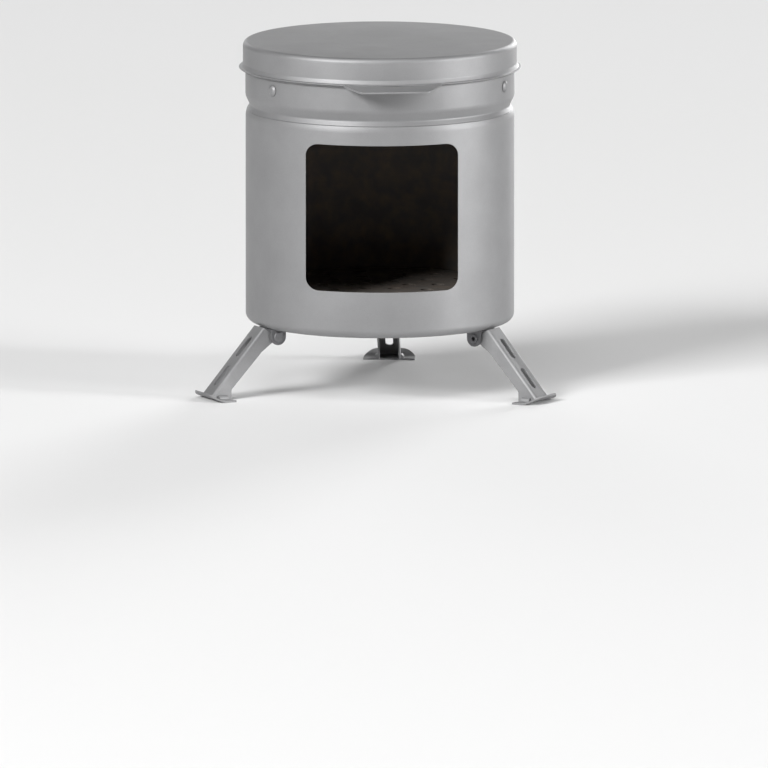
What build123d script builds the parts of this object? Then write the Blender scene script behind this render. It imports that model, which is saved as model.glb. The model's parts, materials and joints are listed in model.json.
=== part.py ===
# Small titanium wood stove on three folding legs.
# Frame: +Z up, the fuel window faces -Y, the origin is on the ground under the stove's axis.
# Azimuths are counted from the front, -Y, towards +X. All sizes are in millimetres.
import os
from math import cos, degrees, radians, sin

from build123d import *

os.makedirs("parts", exist_ok=True)

# Body: a drawn cup with its floor in one piece
ground_clearance = 33.0
body_radius = 65.0
body_height = 103.3
body_sheet = 0.6
floor_corner_radius = 4.0
shoulder_radius = 2.2
shoulder_width = 2.4
mouth_radius = body_radius - shoulder_width

# Fuel window
window_width = 73.4
window_sill = 22.7
window_height = 71.3
window_corner = 6.0
window_azimuth = 1.0

# Air holes in the floor: two rings
air_hole_radius = 3.5
inner_air_ring = 24.0
inner_air_holes = 6
outer_air_inset = 16.3
outer_air_holes = 12

# Top collar: a ring whose neck plugs into the body's mouth
collar_step = 0.1
collar_radius = body_radius + collar_step
collar_sheet = 0.6
collar_height = 32.6
collar_waist_inset = 1.9
collar_waist_height = 2.0
collar_slope_height = 2.1
collar_curve_radius = 5.0
collar_waist_curve = 1.2
rim_curl_radius = 2.2
rim_curl_width = 2.8
neck_gap = 0.3
neck_depth = 6.0
seat_gap = 0.05

# Lid: an over-cap with a hem and a lift tab
lid_gap = 0.6
lid_sheet = 0.6
lid_rest_gap = 0.1
lid_skirt = 12.8
lid_edge_radius = 2.5
hem_width = 2.2
hem_thickness = 1.3
hem_round = 0.5
tab_azimuth = 5.4
tab_root_width = 47.0
tab_tip_width = 33.0
tab_reach = 8.6
tab_thickness = 1.0
tab_droop = 9.0
tab_corner = 2.5

# Legs: slotted channels that fold inward under the floor
leg_azimuths = {"left": -63.0, "right": 57.0, "rear": 177.0}
leg_splay = 41.0
leg_width = 10.8
leg_sheet = 0.8
leg_bend_radius = 1.2
leg_top_rise = 1.0
leg_top_overhang = 0.85
flange_depth_top = 7.0
flange_depth_foot = 6.0
flange_straight_start = 9.5
flange_curve = 5.0
heel_height = 5.0
heel_curve = 2.0
web_overrun = 3.0
leg_slot_width = 3.7
leg_slot_length = 12.0
upper_slot_start = 6.2
lower_slot_start = 23.9

# Hinge under the floor
hinge_inset = 6.7
hinge_radius = body_radius - hinge_inset
hinge_drop = 3.8
hinge_pin_radius = 1.25
hinge_running_gap = 0.05
stop_gap = 0.15

# Leg bracket: a plate under the floor with two cheeks
bracket_sheet = 1.0
cheek_radius = 4.0
cheek_gap = 0.25
bracket_inner_reach = 9.5
bracket_corner = 1.5
rivet_setback = 2.9
rivet_spread = 3.2
rivet_radius = 1.0
rivet_head_radius = 1.9
rivet_head_height = 0.6
rivet_tail_taper = 20.0
rivet_hole_gap = 0.05

# Hinge pin ends: a smooth head and a hollow rolled end
pin_head_radius = 2.6
pin_head_height = 0.9
pin_head_round = 0.4
pin_tail_radius = 2.3
pin_tail_height = 0.7
pin_tail_bore = 0.9
pin_tail_depth = 2.2

# Feet: plates with a bowed inner edge that curve up on the outside
foot_setback = 11.4
foot_half_width = 12.6
foot_depth = 12.5
foot_corner = 7.0
foot_sheet = 0.9
foot_inner_bow = 1.6
foot_flat = 4.0
foot_curve_radius = 28.0
foot_weld = 1.8
foot_trim_sweep = 25.0
trim_margin = 1.0

# Pot supports: channel arms that fold down inside the collar
support_azimuths = {"left": -52.7, "right": 67.3, "rear": 187.3}
support_rivet_height = 14.0
support_rivet_radius = 1.5
support_head_radius = 2.8
support_head_height = 1.2
support_head_round = 1.0
support_tail_radius = 2.2
support_tail_height = 0.9
arm_width = 8.0
arm_depth = 6.0
arm_sheet = 0.8
arm_length = 21.0
arm_hub_radius = 2.8
arm_web_start = 3.4
arm_web_offset = 2.1
arm_heel_width = 1.6
arm_tip_corner = 2.0
arm_stop_gap = 0.1
support_sheet = 1.0
support_plate_gap = 0.3
support_plate_bottom = 8.4
support_plate_height = 11.0
support_ear_radius = 2.7
support_hinge_height = 8.7
support_hinge_offset = 3.7
support_pin_radius = 1.0
support_pin_head_radius = 1.8
support_pin_head_height = 0.6
arm_side_gap = 0.15

# Ash tray on three pressed feet
tray_side_gap = 8.0
tray_radius = body_radius - tray_side_gap
tray_sheet = 0.6
tray_depth = 11.4
tray_corner = 3.0
tray_foot_height = 4.0
tray_foot_radius = 6.0
tray_foot_circle = 38.0
tray_feet = 3
tray_foot_turn = 30.0
tray_vent_radius = 2.5
tray_vents = 12

# Fire grate: a pierced disc with a lip over the tray's rim
grate_sheet = 1.0
grate_lip_depth = 1.2
grate_lip_gap = 0.6
grate_corner = 1.5
grate_hole_radius = 3.0
inner_grate_ring = 14.0
inner_grate_holes = 6
middle_grate_ring = 28.0
middle_grate_holes = 10
outer_grate_inset = 14.0
outer_grate_holes = 14

# Levels
floor_underside = ground_clearance
floor_top = floor_underside + body_sheet
body_rim = floor_underside + body_height
collar_base = body_rim + seat_gap
collar_rim = collar_base + collar_height
collar_waist_radius = collar_radius - collar_waist_inset
neck_radius = mouth_radius - neck_gap
lid_inner_radius = collar_radius + lid_gap
lid_radius = lid_inner_radius + lid_sheet
lid_underside = collar_rim + lid_rest_gap
lid_top = lid_underside + lid_sheet
lid_mouth = lid_top - lid_skirt - hem_thickness
hem_radius = lid_radius + hem_width
hinge_level = floor_underside - hinge_drop
bracket_underside = floor_underside - bracket_sheet
ear_radius = hinge_drop - bracket_sheet - stop_gap
web_length = (floor_underside + leg_top_rise) / cos(radians(leg_splay))
web_foot_radius = body_radius + leg_top_overhang + web_length * sin(radians(leg_splay))
foot_start = web_foot_radius - foot_setback
cheek_inner = leg_width / 2 + cheek_gap
cheek_outer = cheek_inner + bracket_sheet


def side_plane(azimuth):
    """Plane through the axis: local x runs outward and local y runs up."""
    turn = radians(azimuth)
    outward = Vector(sin(turn), -cos(turn), 0)
    return Plane(origin=(0, 0, 0), x_dir=outward, z_dir=outward.cross(Vector(0, 0, 1)))


def level_plane(azimuth, height):
    """Level plane at a height: local x runs outward at this azimuth."""
    turn = radians(azimuth)
    return Plane(origin=(0, 0, height), x_dir=(sin(turn), -cos(turn), 0), z_dir=(0, 0, 1))


def facing_plane(azimuth, radius, height):
    """Plane square to the outward direction: its normal points outward and local y is up."""
    turn = radians(azimuth)
    outward = Vector(sin(turn), -cos(turn), 0)
    return Plane(origin=outward * radius + Vector(0, 0, height),
                 x_dir=Vector(0, 0, 1).cross(outward), z_dir=outward)


def polar(radius, azimuth, height=0.0):
    turn = radians(azimuth)
    return (radius * sin(turn), -radius * cos(turn), height)


# Body shell
with BuildPart() as body_shell:
    with BuildSketch(Plane.XZ):
        with BuildLine():
            FilletPolyline(
                (0, floor_underside),
                (body_radius, floor_underside),
                (body_radius, body_rim),
                (mouth_radius, body_rim),
                radius=[floor_corner_radius, shoulder_radius],
            )
            offset(amount=body_sheet, side=Side.LEFT)
        make_face()
    revolve(axis=Axis.Z)
    window_centre = floor_underside + window_sill + window_height / 2
    with BuildSketch(facing_plane(window_azimuth, 0, window_centre)):
        RectangleRounded(window_width, window_height, window_corner)
    extrude(amount=2 * body_radius, mode=Mode.SUBTRACT)
    with BuildSketch(Plane.XY.offset(floor_underside)):
        with PolarLocations(inner_air_ring, inner_air_holes):
            Circle(air_hole_radius)
        with PolarLocations(hinge_radius - outer_air_inset, outer_air_holes):
            Circle(air_hole_radius)
        for azimuth in leg_azimuths.values():
            with Locations(*[
                level_plane(azimuth, 0).from_local_coords(
                    (hinge_radius - cheek_radius - rivet_setback, side * rivet_spread, 0))
                for side in (-1, 1)
            ]):
                Circle(rivet_radius + rivet_hole_gap)
    extrude(amount=body_sheet, mode=Mode.SUBTRACT)
body_shell.part.label = "body_shell"
export_step(body_shell.part, "parts/body_shell.step")

# Top collar
with BuildPart() as top_collar:
    waist_top = collar_base + collar_waist_height
    with BuildSketch(Plane.XZ):
        with BuildLine():
            FilletPolyline(
                (neck_radius, collar_base - neck_depth),
                (neck_radius, collar_base),
                (collar_waist_radius, collar_base),
                (collar_waist_radius, waist_top),
                (collar_radius, waist_top + collar_slope_height),
                (collar_radius, collar_rim),
                (collar_radius - rim_curl_width, collar_rim),
                radius=[0, 0, collar_waist_curve, collar_curve_radius, rim_curl_radius],
            )
            offset(amount=collar_sheet, side=Side.LEFT)
        make_face()
    revolve(axis=Axis.Z)
    support_rivet_level = collar_base + support_rivet_height
    for azimuth in support_azimuths.values():
        with BuildSketch(facing_plane(azimuth, 0, support_rivet_level)):
            Circle(support_rivet_radius + rivet_hole_gap)
        extrude(amount=2 * collar_radius, mode=Mode.SUBTRACT)
top_collar.part.label = "top_collar"
export_step(top_collar.part, "parts/top_collar.step")

# Lid
with BuildPart() as lid:
    with BuildSketch(Plane.XZ):
        with BuildLine():
            FilletPolyline(
                (lid_radius, lid_mouth),
                (lid_radius, lid_top),
                (0, lid_top),
                radius=[lid_edge_radius],
            )
            offset(amount=lid_sheet, side=Side.LEFT)
        make_face()
    revolve(axis=Axis.Z)
    with BuildSketch(Plane.XZ):
        with BuildLine():
            FilletPolyline(
                (lid_inner_radius, lid_mouth),
                (hem_radius, lid_mouth),
                (hem_radius, lid_mouth + hem_thickness),
                (lid_inner_radius, lid_mouth + hem_thickness),
                radius=[hem_round, hem_round],
            )
            Line((lid_inner_radius, lid_mouth + hem_thickness), (lid_inner_radius, lid_mouth))
        make_face()
    revolve(axis=Axis.Z)
    tab_outward = Vector(*polar(1, tab_azimuth))
    droop = radians(tab_droop)
    tab_plane = Plane(
        origin=polar(lid_radius, tab_azimuth, lid_mouth + hem_thickness / 2),
        x_dir=tab_outward * cos(droop) - Vector(0, 0, sin(droop)),
        z_dir=tab_outward * sin(droop) + Vector(0, 0, cos(droop)),
    )
    tab_length = hem_width + tab_reach
    tab_back = lid_radius - (lid_radius**2 - (tab_root_width / 2) ** 2) ** 0.5
    with BuildSketch(tab_plane):
        with BuildLine():
            FilletPolyline(
                (-tab_back, -tab_root_width / 2),
                (0, -tab_root_width / 2),
                (tab_length, -tab_tip_width / 2),
                (tab_length, tab_tip_width / 2),
                (0, tab_root_width / 2),
                (-tab_back, tab_root_width / 2),
                radius=[0, tab_corner, tab_corner, 0],
            )
            Line((-tab_back, tab_root_width / 2), (-tab_back, -tab_root_width / 2))
        make_face()
    extrude(amount=tab_thickness / 2, both=True)
    with BuildSketch(Plane.XY.offset(lid_mouth + 2 * hem_thickness)):
        Circle(lid_inner_radius)
    extrude(amount=-lid_skirt, mode=Mode.SUBTRACT)
lid.part.label = "lid"
export_step(lid.part, "parts/lid.step")


# Legs
def on_leg(along, inward):
    """Point of the side plane: along the web from its top, and inward from the web's face."""
    splay = radians(leg_splay)
    top_radius = body_radius + leg_top_overhang
    top_level = floor_underside + leg_top_rise
    return (top_radius + along * sin(splay) - inward * cos(splay),
            top_level - along * cos(splay) - inward * sin(splay))


def foot_shape(azimuth):
    """Foot plate: a strip that curves up on its outside, cut to its outline."""
    flat_end = foot_start + foot_flat
    outer_end = foot_start + foot_depth
    rise = degrees((outer_end + trim_margin - flat_end) / foot_curve_radius)
    with BuildPart() as foot:
        with BuildSketch(side_plane(azimuth)):
            with BuildLine():
                start = (foot_start - trim_margin, 0)
                under = Line(start, (flat_end, 0))
                outer = CenterArc((flat_end, foot_curve_radius), foot_curve_radius, -90, rise)
                inner = CenterArc((flat_end, foot_curve_radius),
                                  foot_curve_radius - foot_sheet, -90, rise)
                Line(outer @ 1, inner @ 1)
                upper = Line((flat_end, foot_sheet), (start[0], foot_sheet))
                Line(upper @ 1, under @ 0)
            make_face()
        extrude(amount=foot_half_width + trim_margin, both=True)
        with BuildSketch(level_plane(azimuth, -trim_margin)):
            with BuildLine():
                FilletPolyline(
                    (foot_start, -foot_half_width),
                    (outer_end, -foot_half_width),
                    (outer_end, foot_half_width),
                    (foot_start, foot_half_width),
                    radius=[foot_corner, foot_corner],
                )
                ThreePointArc((foot_start, foot_half_width),
                              (foot_start + foot_inner_bow, 0),
                              (foot_start, -foot_half_width))
            make_face()
        extrude(amount=2 * foot_half_width, mode=Mode.INTERSECT)
        weld_length = web_foot_radius - leg_sheet - flange_depth_foot - foot_start
        half_width = leg_width / 2
        with BuildSketch(facing_plane(azimuth, foot_start + foot_inner_bow, foot_sheet)):
            for side in (-1, 1):
                with BuildLine():
                    corner = (side * half_width, 0)
                    wall = Line(corner, (side * half_width, foot_weld))
                    hollow = RadiusArc(wall @ 1, (side * (half_width + foot_weld), 0),
                                       side * foot_weld)
                    Line(hollow @ 1, corner)
                make_face()
        extrude(amount=weld_length)
    return foot.part


def leg_shape(azimuth):
    """Channel leg with its hinge ears, slots and foot."""
    half_width = leg_width / 2
    ear_top = hinge_level + ear_radius
    web_top = on_leg(0, 0)
    web_end = on_leg(web_length + web_overrun, 0)
    web_drop = floor_underside + leg_top_rise - heel_height
    splay = radians(leg_splay)
    heel_along = (web_drop - flange_depth_foot * sin(splay)) / cos(splay)
    flange_end = on_leg(heel_along, flange_depth_foot)
    with BuildPart() as leg:
        with BuildSketch(side_plane(azimuth)):
            with BuildLine():
                edge = FilletPolyline(
                    (hinge_radius, ear_top),
                    (hinge_radius + cheek_radius, ear_top),
                    web_top,
                    web_end,
                    (flange_end[0], web_end[1]),
                    flange_end,
                    on_leg(flange_straight_start, flange_depth_top),
                    (hinge_radius + ear_radius, hinge_level - ear_radius),
                    (hinge_radius, hinge_level - ear_radius),
                    radius=[0, 0, 0, 0, heel_curve, flange_curve, 0],
                )
                ThreePointArc(edge @ 1, (hinge_radius - ear_radius, hinge_level), edge @ 0)
            make_face()
        extrude(amount=half_width, both=True)
        web_direction = Vector(*web_end, 0) - Vector(*web_top, 0)
        plane = side_plane(azimuth)
        web_axis = Axis(
            plane.from_local_coords((*web_top, 0)),
            plane.from_local_coords((web_direction.X, web_direction.Y, 0)),
        )
        bends = leg.edges().filter_by(web_axis).sort_by_distance(
            plane.from_local_coords((*on_leg(web_length / 2, 0), 0)))[:2]
        fillet(bends, leg_bend_radius)
        with BuildSketch(side_plane(azimuth)):
            with BuildLine():
                Polyline(
                    on_leg(-web_length, leg_sheet),
                    on_leg(2 * web_length, leg_sheet),
                    on_leg(2 * web_length, web_length),
                    on_leg(-web_length, web_length),
                    close=True,
                )
            make_face()
        extrude(amount=half_width - leg_sheet, both=True, mode=Mode.SUBTRACT)
        web_plane = Plane(
            origin=plane.from_local_coords((*web_top, 0)),
            x_dir=plane.from_local_coords((web_direction.X, web_direction.Y, 0)),
            z_dir=plane.from_local_coords((cos(splay), sin(splay), 0)),
        )
        with BuildSketch(web_plane):
            for slot_start in (upper_slot_start, lower_slot_start):
                with Locations((slot_start + leg_slot_length / 2, 0)):
                    SlotOverall(leg_slot_length, leg_slot_width)
        extrude(amount=-2 * leg_sheet, mode=Mode.SUBTRACT)
        with BuildSketch(side_plane(azimuth)):
            with Locations((hinge_radius, hinge_level)):
                Circle(hinge_pin_radius + hinge_running_gap)
        extrude(amount=leg_width, both=True, mode=Mode.SUBTRACT)
        flat_end = foot_start + foot_flat
        mid_radius = foot_curve_radius - foot_sheet / 2
        with BuildSketch(side_plane(azimuth)):
            with BuildLine():
                bed = Line((hinge_radius, foot_sheet / 2), (flat_end, foot_sheet / 2))
                sweep_up = CenterArc((flat_end, foot_curve_radius), mid_radius,
                                     -90, foot_trim_sweep)
                Polyline(sweep_up @ 1, ((sweep_up @ 1).X, -foot_half_width),
                         (hinge_radius, -foot_half_width), bed @ 0)
            make_face()
        extrude(amount=leg_width, both=True, mode=Mode.SUBTRACT)
        add(foot_shape(azimuth))
    return leg.part


for leg_name, azimuth in leg_azimuths.items():
    leg = leg_shape(azimuth)
    leg.label = f"leg_{leg_name}"
    export_step(leg, f"parts/leg_{leg_name}.step")


# Leg brackets
def leg_bracket_shape(azimuth):
    """Plate against the floor with two round-ended cheeks that hold the pin."""
    inner_end = hinge_radius - bracket_inner_reach
    outer_end = hinge_radius + cheek_radius
    with BuildPart() as bracket:
        with BuildSketch(side_plane(azimuth)):
            with BuildLine():
                Polyline(
                    (hinge_radius - cheek_radius, hinge_level),
                    (hinge_radius - cheek_radius, floor_underside),
                    (outer_end, floor_underside),
                    (outer_end, hinge_level),
                )
                ThreePointArc((outer_end, hinge_level),
                              (hinge_radius, hinge_level - cheek_radius),
                              (hinge_radius - cheek_radius, hinge_level))
            make_face()
        extrude(amount=cheek_outer, both=True)
        with BuildSketch(level_plane(azimuth, bracket_underside)):
            with Locations((hinge_radius, 0)):
                Rectangle(3 * cheek_radius, 2 * cheek_inner)
        extrude(amount=-2 * cheek_radius - hinge_drop, mode=Mode.SUBTRACT)
        with BuildSketch(level_plane(azimuth, bracket_underside)) as plate_outline:
            with Locations(((inner_end + outer_end) / 2, 0)):
                Rectangle(outer_end - inner_end, 2 * cheek_outer)
            fillet(plate_outline.vertices().sort_by(
                Axis((0, 0, 0), level_plane(azimuth, 0).x_dir))[:2], bracket_corner)
        extrude(amount=bracket_sheet)
        with BuildSketch(side_plane(azimuth)):
            with Locations((hinge_radius, hinge_level)):
                Circle(hinge_pin_radius + hinge_running_gap)
        extrude(amount=2 * cheek_outer, both=True, mode=Mode.SUBTRACT)
        with BuildSketch(level_plane(azimuth, bracket_underside)):
            with Locations((hinge_radius - cheek_radius - rivet_setback, 0)):
                with GridLocations(0, 2 * rivet_spread, 1, 2):
                    Circle(rivet_radius + rivet_hole_gap)
        extrude(amount=bracket_sheet, mode=Mode.SUBTRACT)
    return bracket.part


for leg_name, azimuth in leg_azimuths.items():
    bracket = leg_bracket_shape(azimuth)
    bracket.label = f"leg_bracket_{leg_name}"
    export_step(bracket, f"parts/leg_bracket_{leg_name}.step")


# Leg pins
def leg_pin_shape(azimuth):
    """Rivet across the cheeks: a smooth head at one end, a hollow rolled end at the other."""
    axis_plane = side_plane(azimuth)
    with BuildPart() as pin:
        with BuildSketch(axis_plane):
            with Locations((hinge_radius, hinge_level)):
                Circle(hinge_pin_radius)
        extrude(amount=cheek_outer, both=True)
        with BuildSketch(axis_plane.offset(-cheek_outer)):
            with Locations((hinge_radius, hinge_level)):
                Circle(pin_head_radius)
        extrude(amount=-pin_head_height)
        fillet(pin.edges().filter_by(GeomType.CIRCLE).sort_by(Axis(
            (0, 0, 0), axis_plane.z_dir))[0], pin_head_round)
        with BuildSketch(axis_plane.offset(cheek_outer)):
            with Locations((hinge_radius, hinge_level)):
                Circle(pin_tail_radius)
        extrude(amount=pin_tail_height)
        fillet(pin.edges().filter_by(GeomType.CIRCLE).sort_by(Axis(
            (0, 0, 0), axis_plane.z_dir))[-1], pin_head_round)
        with BuildSketch(axis_plane.offset(cheek_outer + pin_tail_height)):
            with Locations((hinge_radius, hinge_level)):
                Circle(pin_tail_bore)
        extrude(amount=-pin_tail_depth, mode=Mode.SUBTRACT)
    return pin.part


for leg_name, azimuth in leg_azimuths.items():
    pin = leg_pin_shape(azimuth)
    pin.label = f"leg_pin_{leg_name}"
    export_step(pin, f"parts/leg_pin_{leg_name}.step")

# Bracket rivets: flat heads inside the floor, round tails under the plates
with BuildPart() as bracket_rivets:
    for azimuth in leg_azimuths.values():
        for side in (-1, 1):
            centre = level_plane(azimuth, 0).from_local_coords(
                (hinge_radius - cheek_radius - rivet_setback, side * rivet_spread, 0))
            with BuildSketch(Plane(origin=centre + Vector(0, 0, bracket_underside))):
                Circle(rivet_radius)
            extrude(amount=bracket_sheet + body_sheet)
            with BuildSketch(Plane(origin=centre + Vector(0, 0, floor_top))):
                Circle(rivet_head_radius)
            extrude(amount=rivet_head_height)
            with BuildSketch(Plane(origin=centre + Vector(0, 0, bracket_underside))):
                Circle(rivet_head_radius)
            extrude(amount=-rivet_head_height, taper=rivet_tail_taper)
bracket_rivets.part.label = "bracket_rivets"
export_step(bracket_rivets.part, "parts/bracket_rivets.step")

# Pot supports: the hinge line and the plate that carries it
support_plate_radius = (collar_radius - collar_sheet) - support_plate_gap
support_plate_face = support_plate_radius - support_sheet
support_hinge_radius = support_plate_face - support_hinge_offset
support_hinge_level = collar_base + support_hinge_height
support_ear_inner = arm_width / 2 + arm_side_gap
support_ear_outer = support_ear_inner + support_sheet


def pot_support_shape(azimuth):
    """Channel arm, stowed upright: its web faces the collar's wall."""
    web_face = support_hinge_radius + arm_web_offset
    flange_edge = web_face - arm_depth
    tip = support_hinge_level + arm_length
    heel_end = support_hinge_level - support_hinge_offset + arm_stop_gap
    with BuildPart() as arm:
        with BuildSketch(side_plane(azimuth)):
            with BuildLine():
                side = FilletPolyline(
                    (web_face, support_hinge_level + arm_web_start),
                    (web_face, tip),
                    (flange_edge, tip),
                    (flange_edge, heel_end),
                    (support_hinge_radius - arm_heel_width, heel_end),
                    radius=[0, arm_tip_corner, 0],
                )
                lobe = ThreePointArc(
                    side @ 1,
                    (support_hinge_radius + arm_hub_radius * sin(radians(45)),
                     support_hinge_level - arm_hub_radius * cos(radians(45))),
                    (support_hinge_radius + arm_hub_radius, support_hinge_level),
                )
                Line(lobe @ 1, side @ 0)
            make_face()
        extrude(amount=arm_width / 2, both=True)
        web_mid = polar(web_face, azimuth, support_hinge_level + arm_length / 2)
        fillet(arm.edges().filter_by(Axis.Z).sort_by_distance(web_mid)[:2], arm_sheet)
        with BuildSketch(side_plane(azimuth)):
            with Locations((web_face - arm_sheet - body_radius / 2, support_hinge_level)):
                Rectangle(body_radius, 4 * arm_length)
        extrude(amount=arm_width / 2 - arm_sheet, both=True, mode=Mode.SUBTRACT)
        with BuildSketch(level_plane(azimuth, support_hinge_level - arm_hub_radius * 2)):
            with Locations((support_hinge_radius, 0)):
                Rectangle(4 * arm_hub_radius, arm_width - 2 * arm_sheet)
        extrude(amount=arm_hub_radius * 2 + arm_web_start, mode=Mode.SUBTRACT)
        with BuildSketch(side_plane(azimuth)):
            with Locations((support_hinge_radius, support_hinge_level)):
                Circle(support_pin_radius + hinge_running_gap)
        extrude(amount=arm_width, both=True, mode=Mode.SUBTRACT)
    return arm.part


def support_bracket_shape(azimuth):
    """Plate against the collar's wall with two ears for the arm's pin."""
    plate_bottom = collar_base + support_plate_bottom
    plate_top = plate_bottom + support_plate_height
    with BuildPart() as bracket:
        with BuildSketch(level_plane(azimuth, plate_bottom)):
            with Locations(((support_plate_radius + support_plate_face) / 2, 0)):
                Rectangle(support_sheet, 2 * support_ear_outer)
        extrude(amount=support_plate_height)
        with BuildSketch(side_plane(azimuth)):
            with BuildLine():
                ears = Polyline(
                    (support_hinge_radius, support_hinge_level + support_ear_radius),
                    (support_plate_face, support_hinge_level + support_ear_radius),
                    (support_plate_face, support_hinge_level - support_ear_radius),
                    (support_hinge_radius, support_hinge_level - support_ear_radius),
                )
                ThreePointArc(ears @ 1,
                              (support_hinge_radius - support_ear_radius, support_hinge_level),
                              ears @ 0)
            make_face()
        extrude(amount=support_ear_outer, both=True)
        with BuildSketch(side_plane(azimuth)):
            with Locations((support_plate_face - body_radius / 2, plate_top)):
                Rectangle(body_radius, 4 * support_plate_height)
        extrude(amount=support_ear_inner, both=True, mode=Mode.SUBTRACT)
        with BuildSketch(side_plane(azimuth)):
            with Locations((support_hinge_radius, support_hinge_level)):
                Circle(support_pin_radius + hinge_running_gap)
        extrude(amount=2 * support_ear_outer, both=True, mode=Mode.SUBTRACT)
        with BuildSketch(facing_plane(azimuth, 0, support_rivet_level)):
            Circle(support_rivet_radius + rivet_hole_gap)
        extrude(amount=2 * collar_radius, mode=Mode.SUBTRACT)
    return bracket.part


def support_pin_shape(azimuth):
    """Pin through the ears and the arm, headed at both ends."""
    with BuildPart() as pin:
        with BuildSketch(side_plane(azimuth)):
            with Locations((support_hinge_radius, support_hinge_level)):
                Circle(support_pin_radius)
        extrude(amount=support_ear_outer, both=True)
        for side in (-1, 1):
            with BuildSketch(side_plane(azimuth).offset(side * support_ear_outer)):
                with Locations((support_hinge_radius, support_hinge_level)):
                    Circle(support_pin_head_radius)
            extrude(amount=side * support_pin_head_height)
    return pin.part


for support_name, azimuth in support_azimuths.items():
    pot_support = pot_support_shape(azimuth)
    pot_support.label = f"pot_support_{support_name}"
    export_step(pot_support, f"parts/pot_support_{support_name}.step")
    support_bracket = support_bracket_shape(azimuth)
    support_bracket.label = f"support_bracket_{support_name}"
    export_step(support_bracket, f"parts/support_bracket_{support_name}.step")
    support_pin = support_pin_shape(azimuth)
    support_pin.label = f"support_pin_{support_name}"
    export_step(support_pin, f"parts/support_pin_{support_name}.step")

# Support rivets: domed heads outside the collar
with BuildPart() as support_rivets:
    for azimuth in support_azimuths.values():
        shank_length = collar_radius - support_plate_face
        with BuildSketch(facing_plane(azimuth, support_plate_face, support_rivet_level)):
            Circle(support_rivet_radius)
        extrude(amount=shank_length)
        with BuildSketch(facing_plane(azimuth, collar_radius, support_rivet_level)):
            Circle(support_head_radius)
        extrude(amount=support_head_height)
        outward_axis = Axis((0, 0, 0), polar(1, azimuth))
        fillet(support_rivets.edges().filter_by(GeomType.CIRCLE).sort_by(outward_axis)[-1],
               support_head_round)
        with BuildSketch(facing_plane(azimuth, support_plate_face, support_rivet_level)):
            Circle(support_tail_radius)
        extrude(amount=-support_tail_height)
support_rivets.part.label = "support_rivets"
export_step(support_rivets.part, "parts/support_rivets.step")

# Ash tray
tray_floor = floor_top + tray_foot_height
tray_rim = tray_floor + tray_depth
with BuildPart() as ash_tray:
    with BuildSketch(Plane.XZ):
        with BuildLine():
            FilletPolyline(
                (0, tray_floor),
                (tray_radius, tray_floor),
                (tray_radius, tray_rim),
                radius=[tray_corner],
            )
            offset(amount=tray_sheet, side=Side.LEFT)
        make_face()
    revolve(axis=Axis.Z)
    with BuildSketch(Plane.XY.offset(floor_top)):
        with PolarLocations(tray_foot_circle, tray_feet, start_angle=tray_foot_turn):
            Circle(tray_foot_radius)
    extrude(amount=tray_foot_height)
    with BuildSketch(Plane.XY.offset(floor_top + tray_sheet)):
        with PolarLocations(tray_foot_circle, tray_feet, start_angle=tray_foot_turn):
            Circle(tray_foot_radius - tray_sheet)
    extrude(amount=tray_foot_height, mode=Mode.SUBTRACT)
    for vent in range(tray_vents):
        with BuildSketch(facing_plane(360.0 * vent / tray_vents, 0, tray_floor + tray_depth / 2)):
            Circle(tray_vent_radius)
        extrude(amount=2 * tray_radius, mode=Mode.SUBTRACT)
ash_tray.part.label = "ash_tray"
export_step(ash_tray.part, "parts/ash_tray.step")

# Fire grate
grate_level = tray_rim
grate_radius = tray_radius + grate_lip_gap + grate_sheet
with BuildPart() as fire_grate:
    with BuildSketch(Plane.XZ):
        with BuildLine():
            FilletPolyline(
                (grate_radius, grate_level - grate_lip_depth),
                (grate_radius, grate_level + grate_sheet),
                (0, grate_level + grate_sheet),
                radius=[grate_corner],
            )
            offset(amount=grate_sheet, side=Side.LEFT)
        make_face()
    revolve(axis=Axis.Z)
    with BuildSketch(Plane.XY.offset(grate_level)):
        Circle(grate_hole_radius)
        with PolarLocations(inner_grate_ring, inner_grate_holes):
            Circle(grate_hole_radius)
        with PolarLocations(middle_grate_ring, middle_grate_holes):
            Circle(grate_hole_radius)
        with PolarLocations(tray_radius - outer_grate_inset, outer_grate_holes):
            Circle(grate_hole_radius)
    extrude(amount=grate_sheet, mode=Mode.SUBTRACT)
fire_grate.part.label = "fire_grate"
export_step(fire_grate.part, "parts/fire_grate.step")
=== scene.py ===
"""A small round titanium wood stove on three folding legs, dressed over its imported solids.

Sizes in the stove's classes are millimetres, as on a workshop drawing, and become metres where a
mesh is made. The studio's sizes are metres. Azimuths are degrees, counted from the front, -Y,
towards +X. The origin is on the ground, under the axis of the round body.
"""

from __future__ import annotations

import json
import logging
import math
from dataclasses import dataclass
from enum import Enum
from typing import Iterable, Sequence

import bmesh
import bpy
from mathutils import Matrix, Vector

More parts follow.
